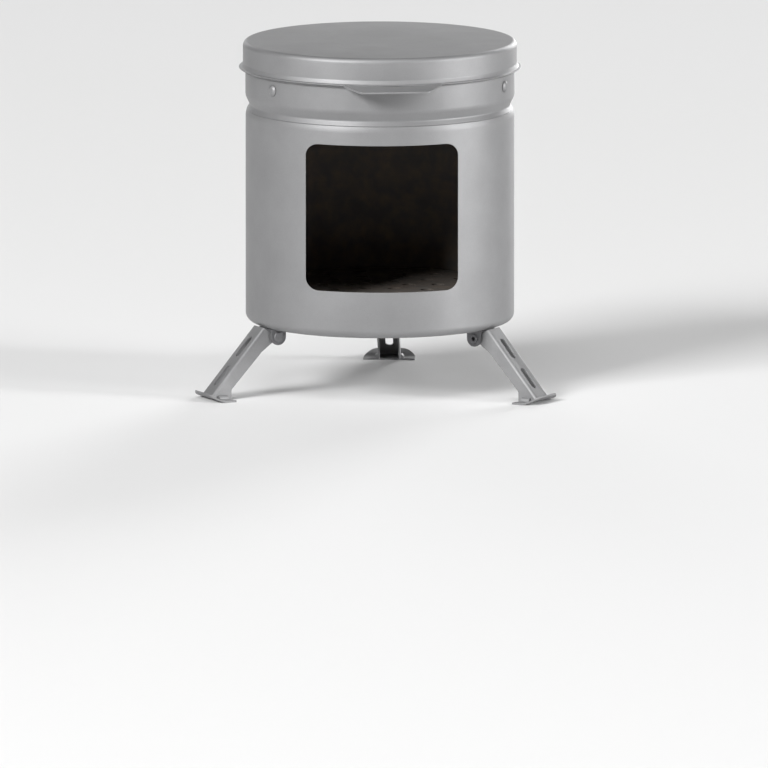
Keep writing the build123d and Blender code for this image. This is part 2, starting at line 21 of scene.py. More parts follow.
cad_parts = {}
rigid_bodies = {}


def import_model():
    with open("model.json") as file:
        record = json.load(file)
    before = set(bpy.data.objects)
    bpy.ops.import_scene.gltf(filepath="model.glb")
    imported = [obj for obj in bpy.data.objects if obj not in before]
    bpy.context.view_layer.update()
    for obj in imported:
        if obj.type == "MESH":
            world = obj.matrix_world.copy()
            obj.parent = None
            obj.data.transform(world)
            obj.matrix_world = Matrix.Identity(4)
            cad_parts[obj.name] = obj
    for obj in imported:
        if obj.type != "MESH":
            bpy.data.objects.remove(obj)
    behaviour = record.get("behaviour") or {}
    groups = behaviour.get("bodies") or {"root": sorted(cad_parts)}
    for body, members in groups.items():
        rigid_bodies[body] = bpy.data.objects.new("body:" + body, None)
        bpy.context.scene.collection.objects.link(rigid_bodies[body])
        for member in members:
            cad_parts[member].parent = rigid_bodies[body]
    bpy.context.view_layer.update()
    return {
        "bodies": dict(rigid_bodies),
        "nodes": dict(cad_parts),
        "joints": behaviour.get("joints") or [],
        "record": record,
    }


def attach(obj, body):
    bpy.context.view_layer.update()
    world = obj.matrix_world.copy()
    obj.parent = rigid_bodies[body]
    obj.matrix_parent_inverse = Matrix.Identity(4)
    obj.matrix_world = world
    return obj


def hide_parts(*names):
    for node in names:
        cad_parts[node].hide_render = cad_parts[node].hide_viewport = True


MM = 0.001
LOG = logging.getLogger("wood_stove")

# A corner of a drawn outline: its two places and the radius of its rounding, in millimetres.
Corner = tuple[float, float, float]

# A noise texture seldom leaves the middle of its range, so this span is stretched to the whole.
NOISE_SPAN = {"From Min": 0.3, "From Max": 0.7}

# Points of a turned shape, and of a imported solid, are one point when nearer than this, in metres.
TURNED_WELD = 1e-7
SOLID_WELD = 2e-6

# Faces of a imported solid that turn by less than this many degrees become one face.
FLAT_UNDER = 0.6

# Edges that turn by more than this many degrees stay sharp, or are broken. Sheet that is made from
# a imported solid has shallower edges.
SHARP_OVER = 32.0
BROKEN_OVER = 40.0
SHEET_SHARP_OVER = 24.0
SHEET_BROKEN_OVER = 30.0

# Widths of broken edges, in millimetres, and the facets across each.
SHEET_EDGE = 0.12
RIVET_EDGE = 0.06
EDGE_FACETS = 2

# Lengths of the drills, in millimetres: through a level sheet, a round wall and a rivet's hole.
SHEET_DRILL = 4.0
WALL_DRILL = 6.0
RIVET_DRILL = 3.0

# Where the rivets stand, in millimetres: a bracket's pair out from the stove's axis and each side
# of the leg's line, and the pot supports' above the ground.
BRACKET_RIVET_RING = 51.4
BRACKET_RIVET_SPREAD = 3.2
SUPPORT_RIVET_LEVEL = 150.35


class LegPlace(Enum):
    """The three legs and the azimuth that each points to."""

    LEFT = -63.0
    RIGHT = 57.0
    REAR = 177.0


class SupportPlace(Enum):
    """The three pot supports inside the collar and their azimuths."""

    LEFT = -52.7
    RIGHT = 67.3
    REAR = 187.3


# Finishes


def linear(hex_colour: str) -> tuple[float, float, float, float]:
    """Turns an sRGB hex colour into a linear one.

    Args:
        hex_colour: Six hex digits after a hash sign.

    Returns:
        Red, green, blue and an alpha of 1.
    """
    channels = [int(hex_colour[start:start + 2], 16) / 255 for start in (1, 3, 5)]
    red, green, blue = (
        value / 12.92 if value <= 0.04045 else ((value + 0.055) / 1.055) ** 2.4
        for value in channels
    )
    return (red, green, blue, 1.0)


def scale_for(size_mm: float) -> float:
    """Returns the scale at which a noise texture's spots are about this many millimetres wide."""
    return 1 / (size_mm * MM)


def add_node(tree: bpy.types.NodeTree, kind: str, inputs: dict | None = None,
             links: dict | None = None, **settings: object) -> bpy.types.Node:
    """Adds one node to a material's tree.

    Args:
        tree: The tree that gets the node.
        kind: The node's type name.
        inputs: Constants for its input sockets, by name or number.
        links: Output sockets that feed its input sockets, by name or number.
        **settings: The node's own properties.

    Returns:
        The new node.
    """
    made = tree.nodes.new(kind)
    for key, value in settings.items():
        setattr(made, key, value)
    for key, value in (inputs or {}).items():
        made.inputs[key].default_value = value
    for key, socket in (links or {}).items():
        tree.links.new(socket, made.inputs[key])
    return made


def new_tree(name: str) -> tuple[bpy.types.Material, bpy.types.NodeTree]:
    """Makes an empty node material.

    Args:
        name: The material's name.

    Returns:
        The material and its empty tree.
    """
    material = bpy.data.materials.new(name)
    material.use_nodes = True
    material.node_tree.nodes.clear()
    return material, material.node_tree


@dataclass(frozen=True)
class TitaniumFinish:
    """Titanium sheet or rivet stock with a bead-blasted surface.

    Blasting leaves a dull grey skin of tiny dimples: broad soft highlights, no mirror images,
    and a slight unevenness of tone and of dullness from one patch to the next, where it has
    been handled.
    """

    name: str
    light_tone: str
    dark_tone: str
    roughness: float
    roughness_spread: float = 0.04
    # Real blasting dimples are under 0.1 mm; they are drawn this coarse to show at all.
    grit_mm: float = 0.5
    grit_depth_mm: float = 0.009
    patch_mm: float = 16.0
    smudge_mm: float = 34.0
    smudge_spread: float = 0.03
    # The blasted skin scatters part of the light like chalk, so it is not all metal.
    metallic: float = 0.65

    def build(self) -> bpy.types.Material:
        """Builds the material.

        Returns:
            The finished material.
        """
        material, tree = new_tree(self.name)
        spot = add_node(tree, "ShaderNodeTexCoord").outputs["Object"]
        patches = add_node(tree, "ShaderNodeTexNoise",
                           {"Scale": scale_for(self.patch_mm), "Detail": 4.0, "Roughness": 0.6},
                           {"Vector": spot})
        smudges = add_node(tree, "ShaderNodeTexNoise",
                           {"Scale": scale_for(self.smudge_mm), "Detail": 3.0, "Distortion": 0.6},
                           {"Vector": spot})
        grit = add_node(tree, "ShaderNodeTexNoise",
                        {"Scale": scale_for(self.grit_mm), "Detail": 2.0, "Roughness": 0.5},
                        {"Vector": spot})
        spread = add_node(tree, "ShaderNodeMapRange", NOISE_SPAN,
                          {"Value": patches.outputs["Fac"]})
        tone = add_node(tree, "ShaderNodeMix",
                        {6: linear(self.dark_tone), 7: linear(self.light_tone)},
                        {0: spread.outputs["Result"]}, data_type="RGBA")
        dull = add_node(tree, "ShaderNodeMapRange",
                        {**NOISE_SPAN, "To Min": -self.smudge_spread,
                         "To Max": self.smudge_spread},
                        {"Value": smudges.outputs["Fac"]})
        dimpled = add_node(tree, "ShaderNodeMapRange",
                           {**NOISE_SPAN, "To Min": self.roughness - self.roughness_spread,
                            "To Max": self.roughness + self.roughness_spread},
                           {"Value": grit.outputs["Fac"]})
        rough = add_node(tree, "ShaderNodeMath", links={0: dimpled.outputs["Result"],
                                                        1: dull.outputs["Result"]},
                         operation="ADD")
        relief = add_node(tree, "ShaderNodeBump",
                          {"Strength": 1.0, "Distance": self.grit_depth_mm * MM},
                          {"Height": grit.outputs["Fac"]})
        shader = add_node(tree, "ShaderNodeBsdfPrincipled", {"Metallic": self.metallic},
                          {"Base Color": tone.outputs[2], "Roughness": rough.outputs["Value"],
                           "Normal": relief.outputs["Normal"]})
        add_node(tree, "ShaderNodeOutputMaterial", links={"Surface": shader.outputs["BSDF"]})
        return material


@dataclass(frozen=True)
class FiredAndShadedFinish:
    """Titanium that the fire has smoked.

    A haze of soot lies over a brown and blue heat tint, so the metal is dull and uneven in tone.
    On the shells' lining, the tray and the grate the dark tones are also painted shade, which
    stands for the unlit inside of the stove.
    """

    name: str
    # The darkest tone: soot that is also painted shade for the unlit inside.
    soot_and_shade: str = "#75716d"
    heat_brown: str = "#84776c"
    heat_blue: str = "#747b84"
    # Where along the patches' noise the soot, which is also painted shade, ends and each heat tint
    # is fullest.
    soot_and_shade_until: float = 0.42
    brown_at: float = 0.68
    blue_at: float = 0.78
    patch_mm: float = 9.0
    flake_mm: float = 0.8
    flake_depth_mm: float = 0.02
    # How rough the sooty and the bare patches are.
    sooty: float = 0.95
    bare: float = 0.7
    metallic: float = 0.3
    specular: float = 0.12

    def build(self) -> bpy.types.Material:
        """Builds the material.

        Returns:
            The finished material.
        """
        material, tree = new_tree(self.name)
        spot = add_node(tree, "ShaderNodeTexCoord").outputs["Object"]
        patches = add_node(tree, "ShaderNodeTexNoise",
                           {"Scale": scale_for(self.patch_mm), "Detail": 6.0, "Roughness": 0.65},
                           {"Vector": spot})
        flakes = add_node(tree, "ShaderNodeTexNoise",
                          {"Scale": scale_for(self.flake_mm), "Detail": 3.0}, {"Vector": spot})
        tone = add_node(tree, "ShaderNodeValToRGB", links={"Fac": patches.outputs["Fac"]})
        tints = tone.color_ramp.elements
        # The darkest tint is painted shade as well as soot.
        tints[0].position, tints[0].color = self.soot_and_shade_until, linear(self.soot_and_shade)
        tints[1].position, tints[1].color = self.brown_at, linear(self.heat_brown)
        tints.new(self.blue_at).color = linear(self.heat_blue)
        rough = add_node(tree, "ShaderNodeMapRange",
                         {**NOISE_SPAN, "To Min": self.sooty, "To Max": self.bare},
                         {"Value": patches.outputs["Fac"]})
        relief = add_node(tree, "ShaderNodeBump",
                          {"Strength": 0.6, "Distance": self.flake_depth_mm * MM},
                          {"Height": flakes.outputs["Fac"]})
        shader = add_node(tree, "ShaderNodeBsdfPrincipled",
                          {"Metallic": self.metallic, "Specular IOR Level": self.specular},
                          {"Base Color": tone.outputs["Color"],
                           "Roughness": rough.outputs["Result"],
                           "Normal": relief.outputs["Normal"]})
        add_node(tree, "ShaderNodeOutputMaterial", links={"Surface": shader.outputs["BSDF"]})
        return material


@dataclass(frozen=True)
class FloorFinish:
    """The studio's pale seamless floor: matt paper with no pattern."""

    name: str = "studio_paper"
    tone: str = "#dfdfdf"

    def build(self) -> bpy.types.Material:
        """Builds the material.

        Returns:
            The finished material.
        """
        material, tree = new_tree(self.name)
        shader = add_node(tree, "ShaderNodeBsdfPrincipled",
                          {"Base Color": linear(self.tone), "Roughness": 0.9,
                           "Specular IOR Level": 0.1})
        add_node(tree, "ShaderNodeOutputMaterial", links={"Surface": shader.outputs["BSDF"]})
        return material


class Paintbox:
    """Builds each finish once and hands out its material."""

    def __init__(self) -> None:
        """Makes all the stove's materials."""
        # The shells' outside is pale and even; the smaller the part, the smaller its patches.
        self.shell = TitaniumFinish("bead_blasted_titanium", "#969697", "#909091", 0.58).build()
        self.leg = TitaniumFinish("pressed_titanium", "#979798", "#8e8e8f", 0.6,
                                  grit_depth_mm=0.006, patch_mm=9.0).build()
        self.bracket = TitaniumFinish("bracket_titanium", "#7e7e80", "#757577", 0.62,
                                      patch_mm=7.0).build()
        self.rivet = TitaniumFinish("rivet_titanium", "#828284", "#78787a", 0.58,
                                    grit_depth_mm=0.004, patch_mm=3.0).build()
        # The shells' inside is browned, the tray and grate are greyer with ash, and the pot
        # supports, which stand in the flames, are the darkest. The dark of the shells' inside, the
        # tray and the grate is also painted shade for the unlit inside of the stove.
        self.fired_and_shaded = FiredAndShadedFinish("smoked_titanium").build()
        self.ashen_and_shaded = FiredAndShadedFinish("ash_dusted_titanium", soot_and_shade="#5d5955", heat_brown="#6c6259",
                                 heat_blue="#575c62", specular=0.3).build()
        self.scorched = FiredAndShadedFinish("scorched_titanium", soot_and_shade="#34322f", heat_brown="#5a4a3c",
                                    heat_blue="#3b4552", patch_mm=6.0, metallic=0.9,
                                    specular=0.3).build()


# Workshop: the ways a mesh is made


def outward(azimuth: float) -> Vector:
    """Returns the level unit vector that points outward at an azimuth in degrees."""
    turn = math.radians(azimuth)
    return Vector((math.sin(turn), -math.cos(turn), 0.0))


def quarter_turn(axis: str) -> Matrix:
    """Returns a turn of 90 degrees about the X, Y or Z axis."""
    return Matrix.Rotation(math.radians(90), 4, axis)


def standing_frame(azimuth: float, radius: float = 0.0, height: float = 0.0) -> Matrix:
    """Makes a frame whose x points outward, y along the rim and z up.

    Args:
        azimuth: Direction from the stove's axis, in degrees.
        radius: Distance of the frame's origin from the axis, in millimetres.
        height: Height of the frame's origin, in millimetres.

    Returns:
        The matrix from that frame to the stove's.
    """
    away = outward(azimuth)
    along = Vector((0, 0, 1)).cross(away)
    matrix = Matrix((away, along, Vector((0, 0, 1)))).transposed().to_4x4()
    matrix.translation = away * (radius * MM) + Vector((0, 0, height * MM))
    return matrix


def bracket_rivet_places(height: float = 0.0) -> list[Matrix]:
    """Finds where the six bracket rivets stand, two to a leg.

    Args:
        height: Height of their frames, in millimetres.

    Returns:
        A frame for each rivet, as of standing_frame.
    """
    return [standing_frame(leg.value, BRACKET_RIVET_RING, height)
            @ Matrix.Translation((0, side * BRACKET_RIVET_SPREAD * MM, 0))
            for leg in LegPlace for side in (-1, 1)]


def round_corner(shape: bmesh.types.BMesh, corner: bmesh.types.BMVert, opening: float,
                 rounding: float, segments: int) -> None:
    """Rounds a corner between two straight edges.

    Args:
        shape: The mesh that has the corner.
        corner: The corner's point.
        opening: The angle between the two edges, in radians.
        rounding: Radius of the rounding, in millimetres.
        segments: How many edges the rounded corner gets.
    """
    reach = rounding / math.tan(opening / 2)
    bmesh.ops.bevel(shape, geom=[corner], offset=reach * MM, offset_type="OFFSET",
                    segments=segments, profile=0.5, affect="VERTICES", material=-1)


def wire(section: Sequence[Corner], segments: int) -> bmesh.types.BMesh:
    """Draws an open section in the XZ plane, with its corners rounded.

    Args:
        section: Radius, height and corner rounding of each point, in millimetres.
        segments: How many edges each rounded corner gets.

    Returns:
        A mesh of edges only.
    """
    drawing = bmesh.new()
    points = [drawing.verts.new((x * MM, 0.0, z * MM)) for x, z, _ in section]
    for start, end in zip(points, points[1:]):
        drawing.edges.new((start, end))
    for number, (x, z, rounding) in enumerate(section):
        if rounding:
            before = Vector(section[number - 1][:2]) - Vector((x, z))
            after = Vector(section[number + 1][:2]) - Vector((x, z))
            round_corner(drawing, points[number], before.angle(after), rounding, segments)
    return drawing


def turned(section: Sequence[Corner], steps: int, sheet: float = 0.0, segments: int = 8,
           lined: bool = False) -> bmesh.types.BMesh:
    """Turns a section round the Z axis, as on a lathe.

    Args:
        section: Radius, height and corner rounding of each point, in millimetres.
        steps: How many facets go round.
        sheet: Thickness given to the turned skin on its inside, or 0 for a solid.
        segments: How many edges each rounded corner gets.
        lined: Whether the faces on the inside of a sheet take the second material.

    Returns:
        The turned mesh.
    """
    shape = wire(section, segments)
    bmesh.ops.spin(shape, geom=shape.verts[:] + shape.edges[:], axis=(0, 0, 1), cent=(0, 0, 0),
                   steps=steps, angle=math.tau, use_merge=True)
    bmesh.ops.remove_doubles(shape, verts=shape.verts[:], dist=TURNED_WELD)
    bmesh.ops.recalc_face_normals(shape, faces=shape.faces[:])
    if sheet:
        outer = {vert for face in shape.faces for vert in face.verts}
        bmesh.ops.solidify(shape, geom=shape.faces[:], thickness=sheet * MM)
        for face in shape.faces:
            if lined and not any(vert in outer for vert in face.verts):
                face.material_index = 1
    return shape


def plate(outline: Sequence[Corner], thickness: float, segments: int) -> bmesh.types.BMesh:
    """Cuts a flat plate to an outline in the XY plane.

    Args:
        outline: X, Y and corner rounding of each point, in millimetres.
        thickness: Thickness of the plate, half above and half below the plane.
        segments: How many edges each rounded corner gets.

    Returns:
        The plate's mesh.
    """
    shape = bmesh.new()
    corners = [shape.verts.new((x * MM, y * MM, -thickness * MM / 2)) for x, y, _ in outline]
    bmesh.ops.contextual_create(shape, geom=corners)
    for corner, (_, _, rounding) in zip(corners, outline):
        if rounding:
            arms = [edge.other_vert(corner).co - corner.co for edge in corner.link_edges]
            round_corner(shape, corner, arms[0].angle(arms[1]), rounding, segments)
    raised = bmesh.ops.extrude_face_region(shape, geom=shape.faces[:])
    lifted = [item for item in raised["geom"] if isinstance(item, bmesh.types.BMVert)]
    bmesh.ops.translate(shape, verts=lifted, vec=(0, 0, thickness * MM))
    bmesh.ops.recalc_face_normals(shape, faces=shape.faces[:])
    return shape


def drill(radius: float, length: float, segments: int = 32) -> bmesh.types.BMesh:
    """Makes a round cutting tool along Z, centred on the origin.

    Args:
        radius: Radius of the tool, in millimetres.
        length: Length of the tool, in millimetres.
        segments: How many facets go round.

    Returns:
        The tool's mesh.
    """
    tool = bmesh.new()
    bmesh.ops.create_cone(tool, cap_ends=True, segments=segments, radius1=radius * MM,
                          radius2=radius * MM, depth=length * MM)
    return tool


def put(shape: bmesh.types.BMesh, matrix: Matrix) -> bmesh.types.BMesh:
    """Moves a mesh to its place and returns it."""
    bmesh.ops.transform(shape, matrix=matrix, verts=shape.verts[:])
    return shape


def ring_drills(hole: float, rings: Sequence[tuple[float, int]], level: float,
                turn: float = 0.0) -> list[bmesh.types.BMesh]:
    """Stands drills in rings round the stove's axis.

    Args:
        hole: Radius of the drills, in millimetres.
        rings: Radius of each ring, in millimetres, and how many drills stand in it.
        level: Height of the sheet that they pierce, in millimetres.
        turn: Angle of each ring's first drill from +X, in degrees.

    Returns:
        The drills.
    """
    tools = []
    for radius, count in rings:
        for number in range(count):
            angle = math.radians(turn) + math.tau * number / count
            spot = Vector((math.cos(angle) * radius, math.sin(angle) * radius, level)) * MM
            tools.append(put(drill(hole, SHEET_DRILL), Matrix.Translation(spot)))
    return tools


def radial_drill(hole: float, azimuth: float, radius: float, level: float) -> bmesh.types.BMesh:
    """Returns a drill that points outward through a round wall at an azimuth and a height."""
    return put(drill(hole, WALL_DRILL), standing_frame(azimuth, radius, level) @ quarter_turn("Y"))


def gather(shapes: Iterable[bmesh.types.BMesh]) -> bmesh.types.BMesh:
    """Puts several meshes into one.

    Args:
        shapes: The meshes, which are used up.

    Returns:
        One mesh with all of them.
    """
    together = bmesh.new()
    for shape in shapes:
        carrier = bpy.data.meshes.new("carrier")
        shape.to_mesh(carrier)
        shape.free()
        together.from_mesh(carrier)
        bpy.data.meshes.remove(carrier)
    return together


def smooth(mesh: bpy.types.Mesh, sharp_over: float) -> None:
    """Shades a mesh smooth but for the edges that turn by more than so many degrees."""
    mesh.polygons.foreach_set("use_smooth", [True] * len(mesh.polygons))
    mesh.set_sharp_from_angle(angle=math.radians(sharp_over))


def to_piece(shape: bmesh.types.BMesh, name: str,
             sharp_over: float = SHARP_OVER) -> bpy.types.Object:
    """Turns a mesh in the making into an object at the origin.

    Args:
        shape: The mesh, which is used up.
        name: The piece's name.
        sharp_over: Edges that turn by more than this many degrees stay sharp.

    Returns:
        The object, linked to the scene.
    """
    mesh = bpy.data.meshes.new(name)
    shape.to_mesh(mesh)
    shape.free()
    smooth(mesh, sharp_over)
    piece = bpy.data.objects.new(name, mesh)
    bpy.context.scene.collection.objects.link(piece)
    return piece


def discard(piece: bpy.types.Object) -> None:
    """Removes an object and its mesh.

    Args:
        piece: The object.
    """
    worn = piece.data
    bpy.data.objects.remove(piece)
    bpy.data.meshes.remove(worn)


def reopen(piece: bpy.types.Object) -> bmesh.types.BMesh:
    """Turns an object back into a mesh in the making.

    Args:
        piece: The object, which is used up.

    Returns:
        Its mesh.
    """
    shape = bmesh.new()
    shape.from_mesh(piece.data)
    discard(piece)
    return shape


def settle(piece: bpy.types.Object) -> None:
    """Makes a piece's modifiers part of its mesh.

    Args:
        piece: The piece.
    """
    bpy.context.view_layer.update()
    graph = bpy.context.evaluated_depsgraph_get()
    result = bpy.data.meshes.new_from_object(piece.evaluated_get(graph))
    worn = piece.data
    piece.modifiers.clear()
    piece.data = result
    result.name = piece.name
    bpy.data.meshes.remove(worn)
    smooth(result, SHARP_OVER)


def carve(piece: bpy.types.Object, tool: bmesh.types.BMesh) -> None:
    """Takes a cutting tool's space out of a piece.

    Args:
        piece: The piece that is cut.
        tool: The cutting tool's mesh, which is used up.
    """
    cutter = to_piece(tool, "cutter")
    step = piece.modifiers.new("carve", "BOOLEAN")
    step.operation = "DIFFERENCE"
    step.solver = "EXACT"
    step.object = cutter
    settle(piece)
    discard(cutter)


def ease_edges(piece: bpy.types.Object, width: float, over: float) -> None:
    """Breaks a piece's sharp edges with a small rounding.

    Args:
        piece: The piece.
        width: Width of the rounding, in millimetres.
        over: Edges that turn by more than this many degrees are broken.
    """
    step = piece.modifiers.new("eased_edges", "BEVEL")
    step.limit_method = "ANGLE"
    step.angle_limit = math.radians(over)
    step.width = width * MM
    step.segments = EDGE_FACETS
    step.use_clamp_overlap = False
    step.harden_normals = True


def dress(piece: bpy.types.Object, slot: str, *materials: bpy.types.Material) -> None:
    """Gives a piece its materials.

    Args:
        piece: The piece. One that is lined is dressed before it is carved, so that the carving
            keeps the faces of each material.
        slot: The record's material slot; not used.
        *materials: The materials, the outside first.
    """
    for material in materials:
        piece.data.materials.append(material)


def fit(piece: bpy.types.Object, body: str, node: str, edge: float = SHEET_EDGE,
        over: float = BROKEN_OVER) -> bpy.types.Object:
    """Breaks a dressed piece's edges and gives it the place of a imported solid.

    Args:
        piece: The piece.
        body: The body that it moves with.
        node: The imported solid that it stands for.
        edge: Width of the broken edges, in millimetres.
        over: Edges that turn by more than this many degrees are broken.

    Returns:
        The same piece.
    """
    ease_edges(piece, edge, over)
    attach(piece, body)
    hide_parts(node)
    return piece


def refined(packed: dict, node: str, body: str, slot: str,
            material: bpy.types.Material) -> bpy.types.Object:
    """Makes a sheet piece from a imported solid: its triangles joined and its edges broken.

    Args:
        packed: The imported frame.
        node: The solid's name.
        body: The body that the piece moves with.
        slot: The record's material slot.
        material: The piece's material.

    Returns:
        The piece.
    """
    shape = bmesh.new()
    shape.from_mesh(packed["nodes"][node].data)
    bmesh.ops.remove_doubles(shape, verts=shape.verts[:], dist=SOLID_WELD)
    bmesh.ops.dissolve_limit(shape, angle_limit=math.radians(FLAT_UNDER), verts=shape.verts[:],
                             edges=shape.edges[:])
    piece = to_piece(shape, f"{node}_sheet", SHEET_SHARP_OVER)
    dress(piece, slot, material)
    return fit(piece, body, node, over=SHEET_BROKEN_OVER)


def fastener(shape: bmesh.types.BMesh, body: str, node: str,
             material: bpy.types.Material) -> bpy.types.Object:
    """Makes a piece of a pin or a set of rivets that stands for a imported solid.

    Args:
        shape: The mesh, which is used up.
        body: The body that the piece moves with.
        node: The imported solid's name.
        material: The piece's material.

    Returns:
        The piece.
    """
    piece = to_piece(shape, f"{node}_turned")
    dress(piece, "rivet_metal", material)
    return fit(piece, body, node, RIVET_EDGE)


# The shells


@dataclass
class BodyShell:
    """The drawn cup with its open fuel window, rolled shoulder and air holes."""

    radius: float = 65.0
    underside: float = 33.0
    rim: float = 136.3
    sheet: float = 0.6
    facets: int = 288
    floor_corner: float = 4.0
    shoulder: float = 134.0
    shoulder_corner: float = 8.0
    shoulder_top: float = 64.45
    mouth: float = 62.6
    mouth_corner: float = 0.35
    window_size: tuple[float, float] = (73.4, 71.3)
    window_sill: float = 22.7
    window_corner: float = 6.0
    window_azimuth: float = 1.0
    air_hole: float = 3.5
    air_rings: tuple[tuple[float, int], ...] = ((24.0, 6), (42.0, 12))
    rivet_hole: float = 1.05

    def window_tool(self) -> bmesh.types.BMesh:
        """Makes the rounded block that cuts the fuel window.

        Returns:
            The block, which passes through the front wall alone.
        """
        width, height = self.window_size
        outline = [(across * width / 2, up * height / 2, self.window_corner)
                   for across, up in ((-1, -1), (1, -1), (1, 1), (-1, 1))]
        block = plate(outline, self.radius, segments=10)
        middle = self.underside + self.window_sill + height / 2
        facing = standing_frame(self.window_azimuth, self.radius, middle)
        upright = quarter_turn("Y") @ quarter_turn("Z")
        return put(block, facing @ upright)

    def rivet_tools(self) -> list[bmesh.types.BMesh]:
        """Returns the drills for the bracket rivets' holes in the floor."""
        return [put(drill(self.rivet_hole, RIVET_DRILL), place)
                for place in bracket_rivet_places(self.underside)]

    def build(self, paints: Paintbox) -> bpy.types.Object:
        """Makes and dresses the shell.

        Args:
            paints: The stove's materials.

        Returns:
            The piece.
        """
        section = [(0, self.underside, 0), (self.radius, self.underside, self.floor_corner),
                   (self.radius, self.shoulder, self.shoulder_corner),
                   (self.shoulder_top, self.rim, self.mouth_corner), (self.mouth, self.rim, 0)]
        piece = to_piece(turned(section, self.facets, self.sheet, lined=True), "stove_shell")
        # The lining's smoked finish is dark as painted shade for the unlit inside.
        dress(piece, "shell_titanium", paints.shell, paints.fired_and_shaded)
        air_holes = ring_drills(self.air_hole, self.air_rings, self.underside)
        carve(piece, gather([self.window_tool(), *air_holes, *self.rivet_tools()]))
        return fit(piece, "stove_body", "body_shell")


@dataclass
class TopCollar:
    """The ring that plugs into the body's mouth, with its waist and turned-in rim."""

    radius: float = 65.1
    base: float = 136.35
    rim: float = 168.95
    rim_corner: float = 2.2
    rim_turn: float = 2.8
    sheet: float = 0.6
    facets: int = 288
    waist: float = 63.0
    waist_height: float = 2.3
    waist_corner: float = 1.0
    slope_height: float = 4.6
    slope_corner: float = 5.0
    skirt: float = 64.5
    skirt_corner: float = 0.2
    neck: float = 62.3
    neck_depth: float = 6.0
    neck_corner: float = 0.1
    rivet_hole: float = 1.55

    def build(self, paints: Paintbox) -> bpy.types.Object:
        """Makes and dresses the collar.

        Args:
            paints: The stove's materials.

        Returns:
            The piece.
        """
        waist_top = self.base + self.waist_height
        section = [(self.neck, self.base - self.neck_depth, 0),
                   (self.neck, self.base, self.neck_corner),
                   (self.skirt, self.base, self.skirt_corner),
                   (self.waist, waist_top, self.waist_corner),
                   (self.radius, waist_top + self.slope_height, self.slope_corner),
                   (self.radius, self.rim, self.rim_corner),
                   (self.radius - self.rim_turn, self.rim, 0)]
        piece = to_piece(turned(section, self.facets, self.sheet, lined=True), "top_ring")
        # The lining's smoked finish is dark as painted shade for the unlit inside.
        dress(piece, "shell_titanium", paints.shell, paints.fired_and_shaded)
        carve(piece, gather(radial_drill(self.rivet_hole, support.value, self.radius,
                                         SUPPORT_RIVET_LEVEL) for support in SupportPlace))
        return fit(piece, "collar", "top_collar")


@dataclass
class Lid:
    """The over-cap with its hem and the lift tab that droops from it."""

    radius: float = 66.3
    top: float = 169.65
    mouth: float = 155.55
    mouth_corner: float = 0.2
    sheet: float = 0.6
    facets: int = 288
    edge: float = 2.5
    broken_edge: float = 0.2
    flare_top: float = 159.0
    flare_corner: float = 1.0
    # The wall flares out over the ledge to the tip of the hem, and is cut away below it.
    ledge: Corner = (67.15, 157.15, 0.4)
    hem_tip: Corner = (68.65, 156.8, 0.3)
    hem_corner: float = 0.3
    tab_level: float = 156.2
    tab_azimuth: float = 5.4
    tab_root: float = 47.0
    tab_tip: float = 33.0
    tab_reach: float = 10.8
    tab_sheet: float = 1.0
    tab_droop: float = 9.0
    tab_corner: float = 2.5

    def tab(self) -> bmesh.types.BMesh:
        """Makes the trapezoid lift tab, its root cut to the lid's round wall.

        Returns:
            The tab in its place under the hem.
        """
        half_root, half_tip = self.tab_root / 2, self.tab_tip / 2
        back = self.radius - math.sqrt(self.radius**2 - half_root**2)
        outline = [(-back, -half_root, 0), (0, -half_root, self.tab_corner),
                   (self.tab_reach, -half_tip, self.tab_corner),
                   (self.tab_reach, half_tip, self.tab_corner),
                   (0, half_root, self.tab_corner), (-back, half_root, 0)]
        lip = plate(outline, self.tab_sheet, segments=8)
        place = standing_frame(self.tab_azimuth, self.radius, self.tab_level)
        put(lip, place @ Matrix.Rotation(math.radians(self.tab_droop), 4, "Y"))
        hollow = drill(self.radius - self.sheet / 2, length=40.0, segments=96)
        put(hollow, Matrix.Translation((0, 0, self.mouth * MM)))
        blank = to_piece(lip, "tab_blank")
        carve(blank, hollow)
        return reopen(blank)

    def build(self, paints: Paintbox) -> bpy.types.Object:
        """Makes and dresses the lid.

        Args:
            paints: The stove's materials.

        Returns:
            The piece.
        """
        inner = self.radius - self.sheet
        section = [(0, self.top, 0), (self.radius, self.top, self.edge),
                   (self.radius, self.flare_top, self.flare_corner), self.ledge, self.hem_tip,
                   (self.radius, self.mouth, self.hem_corner),
                   (inner, self.mouth, self.mouth_corner),
                   (inner, self.top - self.sheet, self.edge - self.sheet),
                   (0, self.top - self.sheet, 0)]
        piece = to_piece(gather([turned(section, self.facets), self.tab()]), "lid_cap")
        dress(piece, "shell_titanium", paints.shell)
        return fit(piece, "lid", "lid", self.broken_edge)


# Legs, brackets, pins and rivets


